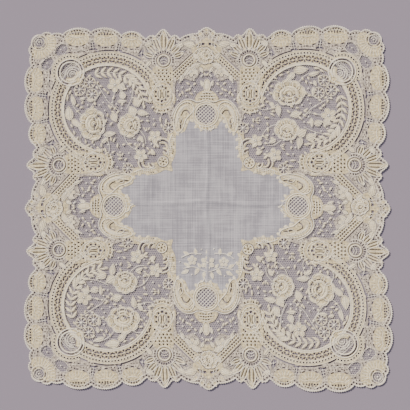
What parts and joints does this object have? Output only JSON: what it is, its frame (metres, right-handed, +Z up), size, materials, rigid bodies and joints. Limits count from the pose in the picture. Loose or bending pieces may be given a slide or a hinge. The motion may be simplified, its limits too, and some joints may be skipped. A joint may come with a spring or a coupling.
{
  "type": "lace-bordered handkerchief laid flat",
  "caption": "Square handkerchief laid flat, a sheer cross-shaped lawn centre in a wide scalloped needle-lace border with raised floral work",
  "frame": {"origin": "middle of the underside of the bounding box, on the surface the cloth lies on", "axes": "+Z up, out of the cloth's face; +Y towards the edge that is at the top when it is seen face on; +X to the right of that"},
  "size_m": [0.3798, 0.3776, 0.0019],
  "materials": {
    "lawn": "sheer plain-woven white lawn",
    "lace": "cream needle lace, matt cotton thread"
  },
  "bodies": {
    "root": {"lawn_centre": "lawn", "lace_border": "lace"}
  },
  "joints": []
}
